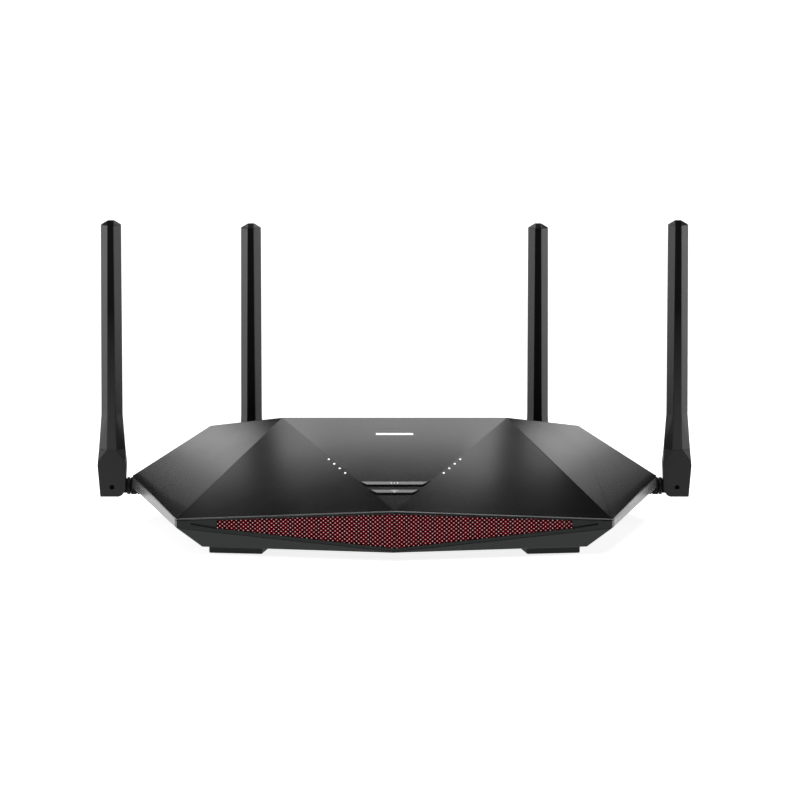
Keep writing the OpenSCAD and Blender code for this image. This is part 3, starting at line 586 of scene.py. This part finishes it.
def make_mesh_front():
    verts, faces, crests = [], [], []
    # Behind each half, a dark sheet of painted shade.
    shade_sheet = bmesh.new()
    for corners, normal in grille_faces():
        woven_half(verts, faces, crests, corners, normal)
        front = [shade_sheet.verts.new(c - normal * SHADE_SHEET_DEPTH) for c in corners]
        back = [shade_sheet.verts.new(c - normal * (SHADE_SHEET_DEPTH + SHADE_SHEET_THICK)) for c in corners]
        shade_sheet.faces.new(front)
        shade_sheet.faces.new(back[::-1])
        for i in range(len(front)):
            j = (i + 1) % len(front)
            shade_sheet.faces.new((front[j], front[i], back[i], back[j]))
    mesh = bpy.data.meshes.new("mesh")
    mesh.from_pydata(verts, [], faces)
    mesh.attributes.new("crest", "FLOAT", "POINT").data.foreach_set("value", crests)
    mesh.shade_smooth()
    bm = bmesh.new()
    bm.from_mesh(mesh)
    bmesh.ops.recalc_face_normals(bm, faces=bm.faces)
    put(bm, "front_mesh_weave", WIRE, "housing", ["front_grille"])
    bmesh.ops.recalc_face_normals(shade_sheet, faces=shade_sheet.faces)
    put(shade_sheet, "front_mesh_shade_sheet", SHADE_SHEET, "housing", ())


make_mesh_front()

# ---------------------------------------------------------------- buttons
joints = {joint["name"]: joint for joint in frame["joints"]}
PRESS = Vector(joints["wifi_button_press"]["axis"]).normalized()
OUT = -PRESS
UPHILL = Vector((1, 0, 0)).cross(PRESS)
# A button's top falls this much for each unit uphill. Its ink, in mm, stands proud and starts below it.
TOP_FALL = 0.0726
INK_TOP = 0.03
INK_ROOT = -0.1
FRONT_EDGE_BAND = 0.02 * MM


def print_marks(button, strokes):
    """Raised white ink on a button. Each stroke is a strip between two lines of (x, uphill) in mm, from the
    middle of the top's front edge, which is its highest."""
    co = [Vector(v.co) for v in frame["nodes"][button].data.vertices]
    top_h = max(c.dot(OUT) for c in co)
    front = [c.dot(UPHILL) for c in co if c.dot(OUT) > top_h - FRONT_EDGE_BAND]
    edge_s = sum(front) / len(front)
    bm = bmesh.new()
    for stroke in strokes:
        rings = []
        for pair in zip(*stroke):
            ring = []
            for lift in (INK_TOP, INK_ROOT):
                for x, along in (pair if lift > 0 else pair[::-1]):
                    ring.append(bm.verts.new(Vector((x * MM, 0, 0)) + UPHILL * (edge_s + along * MM)
                                             + OUT * (top_h + (lift - TOP_FALL * along) * MM)))
            rings.append(ring)
        for a, b in zip(rings, rings[1:]):
            for k in range(4):
                bm.faces.new((a[k], a[(k + 1) % 4], b[(k + 1) % 4], b[k]))
        bm.faces.new(rings[0][::-1])
        bm.faces.new(rings[-1])
    bmesh.ops.recalc_face_normals(bm, faces=bm.faces)
    put(bm, button + "_mark", MARK, button, ())


def arc(x, along, radius, width, start, end, steps=10):
    """A strip in mm round (x, along) from one angle to another, in degrees from straight uphill."""
    turns = [math.radians(start + (end - start) * k / steps) for k in range(steps + 1)]
    return [[(x + r * math.sin(t), along + r * math.cos(t)) for t in turns]
            for r in (max(radius - width / 2, 0.02), radius + width / 2)]


for button in ("wifi_button", "wps_button"):
    rounded(button, BUTTON, 0.25 * MM, 1.0, True, button)
print_marks("wps_button", [arc(0, 2.1, 1.9, 0.6, -130, -50), arc(0, 2.1, 1.9, 0.6, 50, 130),
                           arc(0, 2.1, 0.25, 0.5, -180, 180)])
print_marks("wifi_button", [arc(0, 0.8, 0.3, 0.6, -180, 180), arc(0, 0.8, 1.35, 0.5, -50, 50),
                            arc(0, 0.8, 2.5, 0.55, -50, 50)])
rounded("power_button", REAR_BUTTON, 0.3 * MM, 1.0, True, "power_button")

# ---------------------------------------------------------------- sockets
SHELL = metal("tin_plated_shell", (0.62, 0.62, 0.63), (0.24, 0.36), (1.0, 14.0, 1.0))
WALL_ROOM = 0.9 * MM
RIM_ROOM = 6 * MM
RIM_AREA = 8 * MM ** 2


def plate_outside(bm):
    """Second material on the socket's outer walls and rim, which are folded sheet steel."""
    xs, zs = [v.co.x for v in bm.verts], [v.co.z for v in bm.verts]
    for face in bm.faces:
        middle = face.calc_center_median()
        room = min(middle.x - min(xs), max(xs) - middle.x, middle.z - min(zs), max(zs) - middle.z)
        rim = face.normal.y > 0.9 and face.calc_area() > RIM_AREA and room < RIM_ROOM
        if room < WALL_ROOM or rim:
            face.material_index = 1


rounded("wan_jack", JACK_YELLOW, 0.15 * MM, 1.0, True)
rounded("lan_jack", JACK_BLACK, 0.15 * MM, 1.0, True)
rounded("usb_jack", [JACK_BLUE, SHELL], 0.1 * MM, 1.0, True, shape=plate_outside)
rounded("dc_jack", JACK_BLACK, 0.15 * MM, 1.0, True)

# ---------------------------------------------------------------- antennas
NECK = 21 * MM
FLAT_AREA = 4 * MM ** 2


def paint_flats(antenna, pin_z):
    """Near-black stripes of painted shade up the narrow flats above the neck, and a duller finish on the
    flats of the base.
    """
    along_pin = Vector(joints[antenna + "_tilt"]["axis"])

    def paint(bm):
        for face in bm.faces:
            x, y = abs(face.normal.x), abs(face.normal.y)
            if min(x, y) > 0.02 or face.calc_area() < FLAT_AREA:
                continue
            if face.calc_center_median().z - pin_z > NECK:
                # Above the neck, flats facing along the pin take the painted-shade fade (3), the others the
                # painted-shade stripe (1).
                face.material_index = 3 if abs(face.normal.dot(along_pin)) > 0.9 else 1
            elif max(x, y) > 0.95:
                face.material_index = 2
    return paint


# The collar's outline in mm: (place along the axis, radius, 1 where it is knurled).
NUT_PROFILE = [(10.4, 2.3, 0), (10.4, 4.45, 0), (10.9, 4.85, 1), (13.6, 4.85, 1), (13.9, 4.5, 0),
               (14.3, 4.5, 0), (14.6, 4.85, 1), (17.1, 4.85, 1), (17.6, 4.45, 0), (17.6, 3.17, 0),
               (12.4, 3.17, 0), (12.4, 2.3, 0)]
KNURL_DEPTH = 0.1
KNURLS = 36
STEPS_A_KNURL = 4


def make_coupling_nuts():
    """Knurled collars that clamp the antennas to their sockets, with a groove round the middle."""
    bm = bmesh.new()
    count = KNURLS * STEPS_A_KNURL
    for antenna in ANTENNAS:
        joint = joints[antenna + "_swivel"]
        inward = Vector(joint["axis"])
        centre = Vector(joint["pos_m"])
        if (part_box("top_cover")[0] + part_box("top_cover")[1] - 2 * centre).dot(inward) < 0:
            inward = -inward
        side = UP.cross(inward)
        rings = []
        for place, radius, knurled in NUT_PROFILE:
            ring = []
            for k in range(count):
                turn = 2 * math.pi * k / count
                bite = KNURL_DEPTH * math.cos(KNURLS * turn) * knurled
                r = (radius + bite) * MM
                spoke = side * math.cos(turn) + UP * math.sin(turn)
                ring.append(bm.verts.new(centre + inward * place * MM + spoke * r))
            rings.append(ring)
        for a, b in zip(rings, rings[1:] + rings[:1]):
            for k in range(count):
                n = (k + 1) % count
                bm.faces.new((a[k], a[n], b[n], b[k]))
    bmesh.ops.recalc_face_normals(bm, faces=bm.faces)
    put(bm, "coupling_nuts_knurled", KNUCKLE, "housing", ["coupling_nuts"])


for antenna in ANTENNAS:
    low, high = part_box("pin_" + antenna)
    rounded("paddle_" + antenna, [PADDLE, STRIPE_SHADE, FLAT, FLAT_SHADE_FADE], 0.35 * MM, 1.0, True,
            "antenna_" + antenna, paint_flats(antenna, (low.z + high.z) / 2))
    rounded("knuckle_" + antenna, KNUCKLE, 0.2 * MM, 1.0, True, "knuckle_" + antenna)
make_coupling_nuts()


# ---------------------------------------------------------------- stage
FLOOR_HALF = 30.0
FLOOR_GLOW = 0.84


def make_floor():
    mesh = bpy.data.meshes.new("floor")
    corners = [(x * FLOOR_HALF, y * FLOOR_HALF, 0) for x, y in ((-1, -1), (1, -1), (1, 1), (-1, 1))]
    mesh.from_pydata(corners, [], [(0, 1, 2, 3)])
    floor = bpy.data.objects.new("floor", mesh)
    bpy.context.scene.collection.objects.link(floor)
    n = Nodes("pale_light_table")
    tone = n.mix(n.remap(n.noise(3.0), 0.0, 1.0), (0.78, 0.78, 0.78), (0.8, 0.8, 0.8))
    mesh.materials.append(n.done(Base_Color=tone, Roughness=0.7, Specular_IOR_Level=0.0,
                                 Emission_Color=(1.0, 1.0, 1.0), Emission_Strength=FLOOR_GLOW))


def softbox(name, place, facing, size, radiance):
    """A rectangular area light of the given brightness, whatever its size."""
    data = bpy.data.lights.new(name, "AREA")
    data.shape = "RECTANGLE"
    data.size, data.size_y = size
    data.energy = radiance * math.pi * size[0] * size[1]
    lamp = bpy.data.objects.new(name, data)
    lamp.location = place
    lamp.rotation_euler = facing.to_track_quat("-Z", "Y").to_euler()
    bpy.context.scene.collection.objects.link(lamp)


# Boxes that hang over the back, facing down: (name, x range in mm, y range in mm, brightness).
HANG_HEIGHT = 260 * MM
HANGING_BOXES = [("deck_softbox", (-104, 104), (157, 330), 2.2),
                 ("left_flank_softbox", (-104, -50), (106, 157), 2.2),
                 ("right_flank_softbox", (46, 96), (94, 157), 2.2),
                 ("left_edge_softbox", (-165, -122), (106, 330), 1.6),
                 ("right_edge_softbox", (112, 136), (112, 330), 1.7)]
# Boxes that stand behind, facing forward: (name, x range in mm, brightness).
BACK_DISTANCE = 400 * MM
BACK_HEIGHT = 155 * MM
BACK_TALL = 130 * MM
BACK_BOXES = [("left_wing_softbox", (-226, -191), 1.45), ("right_wing_softbox", (188, 222), 1.45),
              ("left_wing_fill", (-256, -226), 0.3), ("right_wing_fill", (222, 252), 0.3)]
DOME_STRENGTH = 1.55
DOME_SPREAD = math.radians(40)
DOME_TILT = math.radians(20)


def make_lights():
    """A dim room that is bright at the horizon, an overhead dome, and box lights that each facet mirrors."""
    world = bpy.data.worlds.new("studio")
    world.use_nodes = True
    tree = world.node_tree
    direction = tree.nodes.new("ShaderNodeTexCoord").outputs["Generated"]
    split = tree.nodes.new("ShaderNodeSeparateXYZ")
    tree.links.new(direction, split.inputs[0])
    band = tree.nodes.new("ShaderNodeMapRange")
    tree.links.new(split.outputs["Z"], band.inputs["Value"])
    for key, value in (("From Min", 0.02), ("From Max", 0.12), ("To Min", 1.2), ("To Max", 0.04)):
        band.inputs[key].default_value = value
    tree.links.new(band.outputs["Result"], tree.nodes["Background"].inputs["Strength"])
    tree.nodes["Background"].inputs["Color"].default_value = (1.0, 1.0, 1.0, 1.0)
    bpy.context.scene.world = world
    sun = bpy.data.lights.new("overhead_dome", "SUN")
    sun.energy = DOME_STRENGTH
    sun.angle = DOME_SPREAD
    dome = bpy.data.objects.new("overhead_dome", sun)
    dome.rotation_euler = (DOME_TILT, 0, 0)
    bpy.context.scene.collection.objects.link(dome)
    down, back = Vector((0, 0, -1)), Vector((0, -1, 0))
    for name, x, y, radiance in HANGING_BOXES:
        place = (sum(x) / 2 * MM, sum(y) / 2 * MM, HANG_HEIGHT)
        softbox(name, place, down, ((x[1] - x[0]) * MM, (y[1] - y[0]) * MM), radiance)
    for name, x, radiance in BACK_BOXES:
        place = (sum(x) / 2 * MM, BACK_DISTANCE, BACK_HEIGHT)
        softbox(name, place, back, ((x[1] - x[0]) * MM, BACK_TALL), radiance)
    for side in (-1, 1):
        softbox("side_softbox", (side * 0.9, 0.25, 0.25), Vector((-side, -0.2, -0.1)), (0.7, 0.4), 2.5)
    softbox("front_softbox", (-0.75, -1.0, 0.55), Vector((0, 1.0, -0.5)), (1.2, 0.4), 2.2)
    bpy.context.scene.view_settings.view_transform = "Standard"


make_floor()
make_lights()
